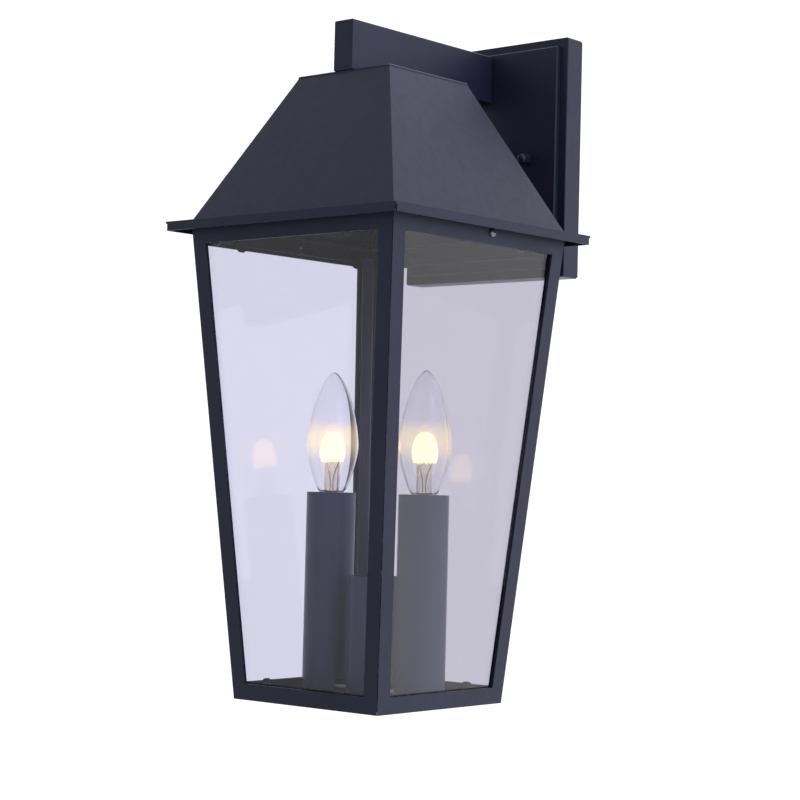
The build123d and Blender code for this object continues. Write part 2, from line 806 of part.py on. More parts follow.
def holder_lead(hand, place):
    """From the column's foot along the strap and up to the lamp holder."""
    x, near = HANDS[hand] * lamp_x, HANDS[hand] * holder_lead_x
    y = lamp_y - lead_line + (0.5 - place) * holder_lead_pitch
    points = [(near, y, lead_z + holder_lead_rise), (near, y, lead_z), (x, y, lead_z),
              (x, y, holder_base)]
    return lead(points, [lead_bend, lead_bend])


def sub_parts():
    """Every piece by its own name."""
    parts = {
        "wall_gasket": wall_gasket(), "crossbar": crossbar(), "crossbar_studs": crossbar_studs(),
        "stud_nuts": stud_nuts(), "ground_screw": ground_screw(), "back_pan": back_pan(),
        "front_panel": front_panel(), "arm_tube": arm_tube(), "arm_end_cap": arm_end_cap(),
        "arm_root_block": arm_root_block(), "arm_screws": arm_screws(),
        "hood_nipple": hood_nipple(), "nipple_nuts": nipple_nuts(),
        "nipple_washer": nipple_washer(), "hood_shell": hood_shell(), "hood_cap": hood_cap(),
        "brim": brim(), "hood_tabs": hood_tabs(), "floor_plate": floor_plate(),
        "cage_screws": cage_screws(), "cage_screw_nuts": cage_screw_nuts(),
        "wire_channel": wire_channel(), "column_sleeve": column_sleeve(),
        "column_lid": column_lid(), "lamp_strap": lamp_strap(), "strap_screws": strap_screws(),
        "splice_connectors": splice_connectors(),
        "glass_clips": [clip for side in SIDES for clip in glass_clips(side)],
        "sleeve_rings": [sleeve_ring(hand) for hand in HANDS],
        "holder_shells": [holder_shell(hand) for hand in HANDS],
        "holder_legs": [holder_leg(hand) for hand in HANDS],
        "holder_leads": [holder_lead(hand, place) for hand in HANDS for place in (0, 1)],
        "supply_lead_black": supply_lead(-lead_pack, -lead_front_row),
        "supply_lead_white": supply_lead(lead_pack, -lead_front_row),
        "ground_lead": supply_lead(0, lead_back_row),
        "lamp_lead_plain": lamp_lead(-1), "lamp_lead_ribbed": lamp_lead(1),
    }
    for side in SIDES:
        parts["frame_" + side] = side_frame(side)
        parts["pane_" + side] = pane(side)
    for hand in HANDS:
        parts["cap_nut_" + hand] = cap_nut(hand)
        parts["candle_sleeve_" + hand] = candle_sleeve(hand)
        parts["lamp_holder_" + hand] = lamp_holder(hand)
        parts["bulb_glass_" + hand] = bulb_glass(hand)
        parts["bulb_base_" + hand] = bulb_base(hand)
        parts["bulb_stem_" + hand] = bulb_stem(hand)
        parts["bulb_filament_" + hand] = bulb_filament(hand)
    return parts


os.makedirs("parts", exist_ok=True)
for node, shape in sub_parts().items():
    solids = shape if isinstance(shape, list) else [shape]
    kept = [solid for piece in solids for solid in piece.solids()]
    whole = kept[0] if len(kept) == 1 else Compound(kept)
    export_step(whole, "parts/" + node + ".step")
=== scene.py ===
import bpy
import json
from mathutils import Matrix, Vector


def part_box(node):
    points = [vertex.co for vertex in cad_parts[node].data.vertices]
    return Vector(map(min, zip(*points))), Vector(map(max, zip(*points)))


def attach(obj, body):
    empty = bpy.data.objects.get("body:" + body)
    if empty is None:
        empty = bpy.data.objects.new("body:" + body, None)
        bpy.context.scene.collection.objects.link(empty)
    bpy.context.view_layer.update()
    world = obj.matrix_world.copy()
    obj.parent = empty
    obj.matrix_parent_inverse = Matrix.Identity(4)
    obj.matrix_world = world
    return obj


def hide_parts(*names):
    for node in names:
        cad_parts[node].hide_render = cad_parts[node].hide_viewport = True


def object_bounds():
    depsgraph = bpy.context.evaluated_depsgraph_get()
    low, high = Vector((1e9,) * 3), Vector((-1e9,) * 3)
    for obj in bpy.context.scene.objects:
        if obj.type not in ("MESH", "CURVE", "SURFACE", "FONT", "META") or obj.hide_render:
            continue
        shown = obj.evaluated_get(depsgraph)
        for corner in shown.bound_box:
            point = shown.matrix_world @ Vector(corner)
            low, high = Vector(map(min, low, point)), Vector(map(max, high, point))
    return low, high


bl_info = {
    "name": "Glazed wall lantern",
    "version": (1, 0, 0),
    "blender": (4, 5, 0),
    "location": "View3D > Sidebar > Lantern",
    "description": "Dresses the fixed frame of an outdoor wall lantern with its visible pieces and finishes",
    "category": "Object",
}

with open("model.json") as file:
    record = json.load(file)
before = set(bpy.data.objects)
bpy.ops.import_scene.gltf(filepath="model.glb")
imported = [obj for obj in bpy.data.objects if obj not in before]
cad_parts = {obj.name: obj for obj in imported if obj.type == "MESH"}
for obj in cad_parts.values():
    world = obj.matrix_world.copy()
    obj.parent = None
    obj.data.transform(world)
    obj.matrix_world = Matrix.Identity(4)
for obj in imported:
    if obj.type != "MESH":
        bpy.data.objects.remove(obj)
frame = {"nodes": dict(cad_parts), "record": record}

import json
import math

import bmesh
import bpy
import numpy as np
from mathutils import Quaternion, Vector

CAD_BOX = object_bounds()
MM = 0.001
HANDS = ("left", "right")
SIDES = ("front", "right", "rear", "left")
TURN = 2 * np.pi


# ---------------------------------------------------------------- colours and nodes

def linear(code):
    """An sRGB hex colour as the linear red, green, blue and alpha that shaders take."""
    parts = np.array([int(code[i:i + 2], 16) for i in (1, 3, 5)]) / 255
    low, high = parts / 12.92, ((parts + 0.055) / 1.055) ** 2.4
    return (*np.where(parts <= 0.04045, low, high), 1.0)


def add(tree, kind, settings=None, links=None):
    """Adds one node. Settings are its own properties; links are socket values, or sockets to join."""
    node = tree.nodes.new(kind)
    for name, value in (settings or {}).items():
        setattr(node, name, value)
    for name, value in (links or {}).items():
        if isinstance(value, bpy.types.NodeSocket):
            tree.links.new(value, node.inputs[name])
        else:
            node.inputs[name].default_value = value
    return node


def new_material(name):
    """An empty node material with its output, and that output's node."""
    material = bpy.data.materials.new(name)
    material.use_nodes = True
    material.node_tree.nodes.clear()
    return material, material.node_tree, add(material.node_tree, "ShaderNodeOutputMaterial")


def drift(tree, size, low, high, detail=2.0):
    """A soft random pattern with features of one size in metres, spread between two values."""
    place = add(tree, "ShaderNodeTexCoord").outputs["Object"]
    noise = add(tree, "ShaderNodeTexNoise", {},
                {"Vector": place, "Scale": 1 / size, "Detail": detail, "Roughness": 0.5})
    spread = add(tree, "ShaderNodeMapRange", {},
                 {"Value": noise.outputs["Fac"], "From Min": 0.3, "From Max": 0.7,
                  "To Min": low, "To Max": high})
    return spread.outputs["Result"]


def grain_bump(tree, size, depth, strength):
    """A bump of one grain size and depth in metres."""
    height = drift(tree, size, 0.0, 1.0, 1.0)
    bump = add(tree, "ShaderNodeBump", {},
               {"Height": height, "Distance": depth, "Strength": strength})
    return bump.outputs["Normal"]


def powder_coat(name, colour, roughness=0.42):
    """Powder coat is sprayed dry and baked, so it lies in a fine orange peel: a soft sheen that
    wavers a little over a few millimetres, with the colour a touch uneven over a hand's width."""
    worn = 0.12
    material, tree, out = new_material(name)
    shade = add(tree, "ShaderNodeMix", {"data_type": "RGBA", "blend_type": "MULTIPLY"},
                {0: 1.0, 6: linear(colour)})
    tone = add(tree, "ShaderNodeCombineColor")
    spread = drift(tree, 60 * MM, 1 - worn, 1 + worn)
    for channel in ("Red", "Green", "Blue"):
        tree.links.new(spread, tone.inputs[channel])
    tree.links.new(tone.outputs["Color"], shade.inputs[7])
    coat = add(tree, "ShaderNodeBsdfPrincipled", {},
               {"Base Color": shade.outputs[2], "IOR": 1.5, "Specular Tint": linear("#cdd2ff"),
                "Roughness": drift(tree, 7 * MM, roughness - 0.04, roughness + 0.05),
                "Normal": grain_bump(tree, 1.1 * MM, 0.02 * MM, 0.35)})
    tree.links.new(coat.outputs["BSDF"], out.inputs["Surface"])
    return material


def let_lamps_through(tree, out, glass, tint):
    """Ends a glass: light from the lamps goes straight through, so what it encloses isn't dark."""
    through = add(tree, "ShaderNodeBsdfTransparent", {}, {"Color": linear(tint)})
    rays = add(tree, "ShaderNodeLightPath")
    both = add(tree, "ShaderNodeMixShader", {},
               {0: rays.outputs["Is Shadow Ray"], 1: glass.outputs["BSDF"],
                2: through.outputs["BSDF"]})
    tree.links.new(both.outputs["Shader"], out.inputs["Surface"])


def clear_glass(name, tint, roughness=0.0):
    """Clear glass, floated or pressed: its two faces mirror the room faintly, and its thickness
    gives what is seen through it a slight tint."""
    material, tree, out = new_material(name)
    glass = add(tree, "ShaderNodeBsdfPrincipled", {},
                {"Base Color": linear(tint), "Roughness": roughness, "IOR": 1.45,
                 "Transmission Weight": 1.0})
    let_lamps_through(tree, out, glass, tint)
    return material


def painted_glow_bulb_glass(name):
    """Thin blown glass round a lit filament: clear, with a painted warm glow and a warmer tint level with
    the filament, which fade with the height away from it as the blur round a bright wire does. The glass is
    no lamp: its glow is painted light."""
    material, tree, out = new_material(name)
    low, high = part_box("bulb_glass_left")
    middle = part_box("bulb_filament_left")[1].z
    reach = 0.22 * (high.z - low.z)
    # Painted glow: the glass itself gives off this much warm light near the filament.
    strength = 0.11
    place = add(tree, "ShaderNodeTexCoord").outputs["Object"]
    parts = add(tree, "ShaderNodeSeparateXYZ", {}, {"Vector": place})
    away = add(tree, "ShaderNodeMath", {"operation": "SUBTRACT"},
               {0: parts.outputs["Z"], 1: middle})
    distance = add(tree, "ShaderNodeMath", {"operation": "ABSOLUTE"}, {0: away.outputs[0]})
    warm = add(tree, "ShaderNodeMapRange", {"interpolation_type": "SMOOTHERSTEP"},
               {"Value": distance.outputs[0], "From Min": 0.0, "From Max": reach,
                "To Min": 1.0, "To Max": 0.0})
    # Painted warm light: the glass's tint turns warmer level with the filament.
    tint = add(tree, "ShaderNodeMix", {"data_type": "RGBA"},
               {0: warm.outputs["Result"], 6: linear("#fdfdff"), 7: linear("#fffaee")})
    light = add(tree, "ShaderNodeMath", {"operation": "MULTIPLY"},
                {0: warm.outputs["Result"], 1: strength})
    glass = add(tree, "ShaderNodeBsdfPrincipled", {},
                {"Base Color": tint.outputs[2], "Roughness": 0.0, "IOR": 1.4,
                 "Transmission Weight": 1.0, "Emission Color": linear("#ffe6ae"),
                 "Emission Strength": light.outputs[0]})
    let_lamps_through(tree, out, glass, "#fbfbff")
    return material


def metal(name, colour, roughness):
    """Plated, pressed or drawn metal: a dull mirror whose sheen is broken by marks of one size."""
    material, tree, out = new_material(name)
    skin = add(tree, "ShaderNodeBsdfPrincipled", {},
               {"Base Color": linear(colour), "Metallic": 1.0,
                "Roughness": drift(tree, 3 * MM, roughness - 0.07, roughness + 0.1),
                "Normal": grain_bump(tree, 0.6 * MM, 0.01 * MM, 0.3)})
    tree.links.new(skin.outputs["BSDF"], out.inputs["Surface"])
    return material


def moulding(name, colour, roughness, grain=0.8, depth=0.01):
    """A moulded or extruded plastic or rubber, with the mould's texture in its sheen. The grain's
    size and depth are in millimetres."""
    material, tree, out = new_material(name)
    skin = add(tree, "ShaderNodeBsdfPrincipled", {},
               {"Base Color": linear(colour), "IOR": 1.46,
                "Roughness": drift(tree, 4 * MM, roughness - 0.05, roughness + 0.06),
                "Normal": grain_bump(tree, grain * MM, depth * MM, 0.4)})
    tree.links.new(skin.outputs["BSDF"], out.inputs["Surface"])
    return material


def glowing_wire(name, colour, strength):
    """Tungsten wire at white heat: it gives off more light than it reflects."""
    material, tree, out = new_material(name)
    wire = add(tree, "ShaderNodeBsdfPrincipled", {},
               {"Base Color": linear("#ffe9c0"), "Roughness": 0.4,
                "Emission Color": linear(colour), "Emission Strength": strength})
    tree.links.new(wire.outputs["BSDF"], out.inputs["Surface"])
    return material


FINISHES = {}


def finish_for(slot, look):
    """The finish of one of the record's material slots, made once."""
    if slot not in FINISHES:
        coat = "#%02x%02x%02x" % tuple(round(255 * part) for part in look.coat_colour)
        maker, *values = {
            "wall_paint": (powder_coat, "satin_black_powder_coat_on_plate", coat),
            "hood_paint": (powder_coat, "satin_black_powder_coat_on_hood", coat),
            "cage_paint": (powder_coat, "satin_black_powder_coat_on_cage", coat),
            "floor_paint": (powder_coat, "satin_black_powder_coat_on_floor", "#22242e"),
            "channel_paint": (powder_coat, "satin_black_powder_coat_on_channel", "#444656", 0.2),
            "sleeve_paint": (powder_coat, "satin_grey_powder_coat_on_sleeves", "#4d5369", 0.34),
            "clip_paint": (powder_coat, "brushed_black_paint_on_clips", "#2a2b31", 0.38),
            "cap_nut_paint": (powder_coat, "gloss_black_lacquer_on_cap_nuts", "#22232a", 0.24),
            "pane_glass": (clear_glass, "polished_float_glass", look.pane_tint_code),
            # The right and rear panes take a greyer copy of the same pane glass: painted shade.
            "pane_glass_painted_shade": (clear_glass, "float_glass_painted_shade", look.shaded_tint_code),
            # The bulbs' glass carries a painted warm glow level with the filaments.
            "bulb_glass": (painted_glow_bulb_glass, "blown_glass_with_painted_glow"),
            "stem_glass": (clear_glass, "pressed_stem_glass", "#faf6ec", 0.03),
            "bulb_brass": (metal, "pressed_brass_cap", "#cfae6e", 0.3),
            "shell_brass": (metal, "pressed_brass_shell", "#c7a562", 0.34),
            "filament_wire": (glowing_wire, "white_hot_tungsten", "#ffe2a6", look.glow),
            "zinc_steel": (metal, "zinc_plated_steel", "#b9bec4", 0.36),
            "screw_steel": (metal, "bright_zinc_plated_screws", "#8e919b", 0.34),
            "green_screw": (metal, "green_dyed_zinc", "#3f8f52", 0.34),
            "gasket_foam": (moulding, "closed_cell_neoprene_foam", "#17181a", 0.8, 0.7, 0.2),
            "holder_resin": (moulding, "moulded_phenolic_resin", "#e6e1d2", 0.38),
            "splice_nylon": (moulding, "moulded_nylon", "#b5642c", 0.3),
            "lead_black": (moulding, "black_pvc_lead", "#16171a", 0.32),
            "lead_white": (moulding, "white_pvc_lead", "#e4e3dd", 0.34),
            "lead_green": (moulding, "green_pvc_lead", "#2d7f42", 0.34),
        }[slot]
        FINISHES[slot] = maker(*values)
    return FINISHES[slot]


SLOT_OF = {part["node"]: part["material_slot"] for part in frame["record"]["subparts"]}
BODY_OF = {node: body for body, nodes in frame["record"]["behaviour"]["bodies"].items()
           for node in nodes}


# ---------------------------------------------------------------- surfaces

def grid_faces(rows, columns, close_rows=False):
    """The quads of a grid that closes round its columns, and round its rows if asked."""
    row = np.arange(rows if close_rows else rows - 1)[:, None]
    column = np.arange(columns)[None, :]
    after, beside = (row + 1) % rows, (column + 1) % columns
    corners = (row * columns + column, row * columns + beside,
               after * columns + beside, after * columns + column)
    return np.stack(corners, axis=-1).reshape(-1, 4)


def fan_faces(first, columns, pole, up):
    """The triangles from one ring of a grid to a pole, facing up or down."""
    here = first + np.arange(columns)
    beside = first + (np.arange(columns) + 1) % columns
    order = (here, beside) if up else (beside, here)
    return np.stack((*order, np.full(columns, pole)), axis=-1)


def capped(rings, low_pole=None, high_pole=None):
    """A stack of rings (rows, columns, xyz) as points and faces, closed by a pole at either end."""
    rows, columns = rings.shape[:2]
    points = rings.reshape(-1, 3)
    faces = grid_faces(rows, columns).tolist()
    if low_pole is not None:
        faces += fan_faces(0, columns, len(points), False).tolist()
        points = np.vstack((points, low_pole))
    if high_pole is not None:
        faces += fan_faces((rows - 1) * columns, columns, len(points), True).tolist()
        points = np.vstack((points, high_pole))
    return points, faces


def wire(path, radius, closed=False):
    """A round wire: a circle carried along the path, square to the path's own direction."""
    if closed:
        ahead = np.roll(path, -1, axis=0) - np.roll(path, 1, axis=0)
    else:
        ahead = np.gradient(path, axis=0)
    ahead /= np.linalg.norm(ahead, axis=1, keepdims=True)
    aside = np.cross(ahead, np.array((0.31, 0.87, 0.38)))    # no wire here runs this way
    aside /= np.linalg.norm(aside, axis=1, keepdims=True)
    third = np.cross(ahead, aside)
    sides = 8
    angle = np.linspace(0, TURN, sides, endpoint=False)[None, :, None]
    size = np.broadcast_to(np.asarray(radius, float), (len(path),))[:, None, None]
    rings = path[:, None] + size * (np.cos(angle) * aside[:, None] + np.sin(angle) * third[:, None])
    if closed:
        return rings.reshape(-1, 3), grid_faces(len(path), sides, True).tolist()
    return capped(rings, path[0], path[-1])


def beads(centres, sizes):
    """A rounded bead at each centre: a sphere from a grid of two angles, copied to every centre."""
    rings, columns = 5, 8
    tilt = np.linspace(-np.pi / 2, np.pi / 2, rings + 2)[1:-1]
    angle = np.linspace(0, TURN, columns, endpoint=False)
    ball = np.stack((np.cos(tilt)[:, None] * np.cos(angle), np.cos(tilt)[:, None] * np.sin(angle),
                     np.repeat(np.sin(tilt)[:, None], columns, axis=1)), axis=-1)
    points, faces = capped(ball, np.array((0, 0, -1.0)), np.array((0, 0, 1.0)))
    every = (centres[:, None] + sizes[:, None] * points[None]).reshape(-1, 3)
    step = len(points)
    copies = range(len(centres))
    return every, [[corner + step * copy for corner in face] for copy in copies for face in faces]


def joined(shapes):
    """Several shapes as one list of points and one of faces."""
    points, faces, start = [], [], 0
    for shape_points, shape_faces in shapes:
        points.append(shape_points)
        faces += [[corner + start for corner in face] for face in shape_faces]
        start += len(shape_points)
    return np.vstack(points), faces


def make_piece(name, shape, slot, body, look, smooth_angle=35.0, replaces=()):
    """Turns points and faces into a finished piece that rides on a body."""
    points, faces = shape
    mesh = bpy.data.meshes.new(name)
    mesh.from_pydata(points.tolist(), [], faces)
    mesh.validate()
    return dress(name, mesh, slot, body, look, smooth_angle, replaces)


def dress(name, mesh, slot, body, look, smooth_angle, replaces):
    """Gives a mesh its object, finish, smooth shading, body and the CAD nodes that it stands for."""
    mesh.shade_smooth()
    mesh.set_sharp_from_angle(angle=math.radians(smooth_angle))
    piece = bpy.data.objects.new(name, mesh)
    bpy.context.scene.collection.objects.link(piece)
    mesh.materials.clear()
    mesh.materials.append(finish_for(slot, look))
    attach(piece, body)
    if replaces:
        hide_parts(*replaces)
    return piece


def unit_ring(columns):
    """Places evenly round a circle of radius one."""
    angle = np.linspace(0, TURN, columns, endpoint=False)
    return np.stack((np.cos(angle), np.sin(angle)), axis=-1)


def plan_centre(node):
    """The middle of a node's box in plan."""
    low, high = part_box(node)
    return (low.x + high.x) / 2, (low.y + high.y) / 2


def node_points(node):
    """A CAD node's corners as an array."""
    mesh = frame["nodes"][node].data
    flat = np.empty(3 * len(mesh.vertices))
    mesh.vertices.foreach_get("co", flat)
    return flat.reshape(-1, 3)


def eased_copy(node, width, look):
    """A copy of a sheet-metal node with its sharp edges eased, as the coat leaves them."""
    sharp, flat = 32.0, 0.4
    weld = 0.002 * MM
    mesh = frame["nodes"][node].data.copy()
    mesh.name = node + "_eased"
    if mesh.has_custom_normals:
        mesh.normals_split_custom_set([(0, 0, 0)] * len(mesh.loops))
    shape = bmesh.new()
    shape.from_mesh(mesh)
    bmesh.ops.remove_doubles(shape, verts=shape.verts, dist=weld)
    bmesh.ops.dissolve_limit(shape, angle_limit=math.radians(flat), verts=shape.verts,
                             edges=shape.edges)
    shape.to_mesh(mesh)
    shape.free()
    piece = dress(node + "_eased", mesh, SLOT_OF[node], BODY_OF[node], look, sharp, (node,))
    bevel = piece.modifiers.new("eased_edges", "BEVEL")
    bevel.width = width
    bevel.segments = 2
    bevel.limit_method = "ANGLE"
    bevel.angle_limit = math.radians(sharp)
    bevel.harden_normals = True
    bevel.use_clamp_overlap = True


# ---------------------------------------------------------------- settings

class LanternLook(bpy.types.PropertyGroup):
    """The sizes and colours of the lantern's visible pieces."""
    coat_colour: bpy.props.FloatVectorProperty(
        name="Coat colour", description="Powder coat on the plate, hood and cage, as sRGB",
        subtype="COLOR_GAMMA", size=3, min=0, max=1, default=(0.122, 0.128, 0.192))
    pane_tint_code: bpy.props.StringProperty(
        name="Pane tint", description="What the front and left panes let through, as a hex colour",
        default="#e8e7f2")
    # The right and rear panes' greyer tint is painted shade on the same glass.
    shaded_tint_code: bpy.props.StringProperty(
        name="Shaded pane tint", description="What the right and rear panes let through",
        default="#d8d6e0")
    glow: bpy.props.FloatProperty(
        name="Filament glow", description="How strongly the filaments shine",
        default=2.0, min=0, max=500)
    edge: bpy.props.FloatProperty(
        name="Eased edge", description="How far the coat rounds a sheet's edge",
        default=0.35 * MM, min=0.05 * MM, max=1.5 * MM, unit="LENGTH")
    bulb_wall: bpy.props.FloatProperty(
        name="Bulb wall", description="Thickness of the blown bulb's glass",
        default=0.6 * MM, min=0.3 * MM, max=1.5 * MM, unit="LENGTH")
    filament_loops: bpy.props.IntProperty(
        name="Filament loops", description="Hairpins in each filament", default=11, min=3, max=15)


class StudioLook(bpy.types.PropertyGroup):
    """The studio round the lantern."""
    floor_drop: bpy.props.FloatProperty(
        name="Floor drop", description="How far the floor lies below the lantern",
        default=0.45, min=0.05, max=3, unit="LENGTH")
    backdrop: bpy.props.FloatProperty(
        name="Backdrop light", description="Brightness of the light behind the lantern",
        default=1.15, min=0, max=5)
    front_light: bpy.props.FloatProperty(
        name="Front light", description="Brightness of the soft light in front of the lantern",
        default=0.5, min=0, max=5)
    key_power: bpy.props.FloatProperty(
        name="Side lamp", description="Power of the large soft lamp to the lantern's right",
        default=19.0, min=0, max=500, unit="POWER")


# ---------------------------------------------------------------- pieces

def coat_node(node, look):
    """Gives a CAD node the finish of its slot. The right and rear panes take a greyer copy of the
    front and left ones' glass, as painted shade, though all four are in one slot."""
    target = frame["nodes"][node]
    # Painted shade: the right and rear panes get a darker copy of the same glass.
    shaded = node in ("pane_right", "pane_rear")
    finish = finish_for("pane_glass_painted_shade" if shaded else SLOT_OF[node], look)
    if not target.material_slots:
        target.data.materials.append(finish)
    for place in target.material_slots:
        place.material = finish


class LANTERN_OT_plain_nodes(bpy.types.Operator):
    """Finish every CAD node in its own material."""
    bl_idname = "lantern.plain_nodes"
    bl_label = "Finish the frame's nodes"

    def execute(self, context):
        for node in frame["nodes"]:
            coat_node(node, context.scene.lantern_look)
        return {"FINISHED"}


class LANTERN_OT_arm(bpy.types.Operator):
    """Ease the edges of the arm and its end cap. The wall plate stays as its CAD nodes are."""
    bl_idname = "lantern.arm"
    bl_label = "Arm"

    def execute(self, context):
        look = context.scene.lantern_look
        for node in ("arm_tube", "arm_end_cap"):
            eased_copy(node, 0.6 * look.edge, look)
        return {"FINISHED"}


class LANTERN_OT_hood(bpy.types.Operator):
    """Ease the edges of the hood and its brim."""
    bl_idname = "lantern.hood"
    bl_label = "Hood and brim"

    def execute(self, context):
        look = context.scene.lantern_look
        for node in ("hood_shell", "brim"):
            eased_copy(node, look.edge, look)
        return {"FINISHED"}


class LANTERN_OT_cage(bpy.types.Operator):
    """Ease the edges of the cage's frames, floor, channel, clips and sleeves."""
    bl_idname = "lantern.cage"
    bl_label = "Cage"

    def execute(self, context):
        look = context.scene.lantern_look
        for side in SIDES:
            eased_copy("frame_" + side, look.edge, look)
        for node in ("candle_sleeve_left", "candle_sleeve_right", "column_sleeve", "floor_plate",
                     "wire_channel", "glass_clips"):
            eased_copy(node, 0.6 * look.edge, look)
        return {"FINISHED"}


def bulb_profile(neck, widest, neck_height, middle, top):
    """The bulb's outline from neck to tip. Above the widest place the radius falls as
    (1 - u^1.6)^0.6, where u runs from the widest place to the tip. Below it the radius falls as
    1 - 0.51 v^1.55, and the last few millimetres close in on the neck in a quarter round."""
    low = middle - (middle - neck_height) * np.linspace(1, 0, 34) ** 1.2
    v = (middle - low) / (middle - neck_height)
    under = widest * (1 - 0.51 * v ** 1.55)
    close = np.clip((low - neck_height) / (5 * MM), 0, 1)
    under = neck + (under - neck) * np.sqrt(1 - (1 - close) ** 2)
    u = np.sin(np.linspace(0, np.pi / 2, 44))[1:]
    over = widest * (1 - u ** 1.6) ** 0.6
    return np.concatenate((under, over)), np.concatenate((low, middle + u * (top - middle)))


def inset_profile(radius, height, wall):
    """The same outline moved inwards by the wall, square to itself."""
    along_r, along_z = np.gradient(radius), np.gradient(height)
    length = np.hypot(along_r, along_z)
    return np.maximum(radius - wall * along_z / length, 0), height + wall * along_r / length


class LANTERN_OT_bulb_glass(bpy.types.Operator):
    """Blow the two pointed candle bulbs."""
    bl_idname = "lantern.bulb_glass"
    bl_label = "Bulb glass"

    def execute(self, context):
        look = context.scene.lantern_look
        for hand in HANDS:
            node = "bulb_glass_" + hand
            low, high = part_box(node)
            base_low, base_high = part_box("bulb_base_" + hand)
            neck = (base_high.x - base_low.x) / 2 - 0.05 * MM
            widest = (high.x - low.x) / 2 - 0.02 * MM
            middle = low.z + 0.39 * (high.z - low.z)
            radius, height = bulb_profile(neck, widest, low.z, middle, high.z)
            inner_r, inner_z = inset_profile(radius, height, look.bulb_wall)
            inner_r[-1] = 0
            centre, ring = plan_centre(node), unit_ring(96)
            shape = shell_of(turned_half(radius, height, centre, ring),
                             turned_half(inner_r, inner_z, centre, ring))
            make_piece("candle_bulb_" + hand, shape, "bulb_glass", "bulb_" + hand, look, 60,
                       (node,))
        return {"FINISHED"}


def turned_half(radius, height, centre, ring):
    """The rings of an outline that ends in a pole at its top, with that pole."""
    plan = radius[:-1, None, None] * ring[None]
    rise = np.broadcast_to(height[:-1, None, None], (len(radius) - 1, len(ring), 1))
    rings = np.concatenate((plan, rise), axis=-1) + np.array((*centre, 0.0))
    return rings, np.array((*centre, height[-1]))


def shell_of(outer, inner):
    """A hollow shell from an outer and an inner stack of rings, joined at their open rims."""
    columns = outer[0].shape[1]
    out_points, out_faces = capped(outer[0], high_pole=outer[1])
    in_points, in_faces = capped(inner[0], high_pole=inner[1])
    start = len(out_points)
    faces = out_faces + [[corner + start for corner in face[::-1]] for face in in_faces]
    here = np.arange(columns)
    beside = (here + 1) % columns
    rim = np.stack((here + start, beside + start, beside, here), axis=-1)
    return np.vstack((out_points, in_points)), faces + rim.tolist()


class LANTERN_OT_bulb_stems(bpy.types.Operator):
    """Close the hollow glass stem inside each bulb."""
    bl_idname = "lantern.bulb_stems"
    bl_label = "Bulb stems"

    def execute(self, context):
        look = context.scene.lantern_look
        for hand in HANDS:
            node = "bulb_stem_" + hand
            low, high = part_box(node)
            wall = 0.6 * MM
            rise = np.linspace(0, 1, 30)
            height = low.z + rise * (high.z - low.z)
            # The tube widens from the neck, holds its width, and closes in a dome at its top.
            radius = (4.4 + 0.8 * np.clip(rise / 0.2, 0, 1)) * MM
            radius = radius * np.sqrt(1 - np.clip((rise - 0.8) / 0.2, 0, 1) ** 2)
            inner_r, inner_z = inset_profile(radius, height, wall)
            inner_r[-1], inner_z[-1] = 0, height[-1] - wall
            centre, ring = plan_centre(node), unit_ring(48)
            tube = shell_of(turned_half(radius, height, centre, ring),
                            turned_half(inner_r, inner_z, centre, ring))
            make_piece("bulb_stem_tube_" + hand, tube, "stem_glass", "bulb_" + hand, look, 60,
                       (node,))
        return {"FINISHED"}


def crown_path(centre, foot, loops):
    """The line of a crown of hairpins. Its height follows a wave round it, from 0 at the foot to 1
    at the tips. Its radius is the tip's plus the belly times the square root of 1 - height^1.7,
    less the tuck times (1 - height)^3, so that the crown is pointed like a flame."""
    tall, tip, belly, tuck = 19.0 * MM, 1.0 * MM, 8.2 * MM, 2.4 * MM
    turn = np.linspace(0, TURN, 420, endpoint=False)
    rise = 0.5 + 0.5 * np.cos(loops * turn)
    radius = tip + belly * np.sqrt(np.clip(1 - rise ** 1.7, 0, 1)) - tuck * (1 - rise) ** 3
    return np.stack((centre[0] + radius * np.cos(turn), centre[1] + radius * np.sin(turn),
                     foot + tall * rise), axis=-1)


def lead_in_wires(centre, foot, top):
    """Two wires that spread from the stem's foot to the crown, each bowed by half a sine wave."""
    foot_spread, top_spread, bow_out, radius = 1.6 * MM, 6.6 * MM, 2.4 * MM, 0.3 * MM
    rise = np.linspace(0, 1, 24)[:, None]
    leads = []
    for side in (-1, 1):
        start = np.array((centre[0] + side * foot_spread, centre[1], foot))
        end = np.array((centre[0] + side * top_spread, centre[1], top))
        bow = np.array((-side * bow_out, 0, 0)) * np.sin(np.pi * rise)
        leads.append(wire(start + (end - start) * rise + bow, radius))
    return joined(leads)


class LANTERN_OT_filaments(bpy.types.Operator):
    """Wind the glowing filaments on their lead-in wires."""
    bl_idname = "lantern.filaments"
    bl_label = "Filaments"

    def execute(self, context):
        look = context.scene.lantern_look
        crown_drop, lead_drop, wire_radius = 14.0 * MM, 13.5 * MM, 0.75 * MM
        for hand in HANDS:
            node = "bulb_filament_" + hand
            centre, top = plan_centre(node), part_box(node)[1].z
            crown = wire(crown_path(centre, top - crown_drop, look.filament_loops), wire_radius,
                         closed=True)
            make_piece("filament_crown_" + hand, crown, "filament_wire", "bulb_" + hand, look, 60,
                       (node,))
            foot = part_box("bulb_stem_" + hand)[0].z
            make_piece("lead_in_wires_" + hand, lead_in_wires(centre, foot, top - lead_drop),
                       "zinc_steel", "bulb_" + hand, look)
        return {"FINISHED"}


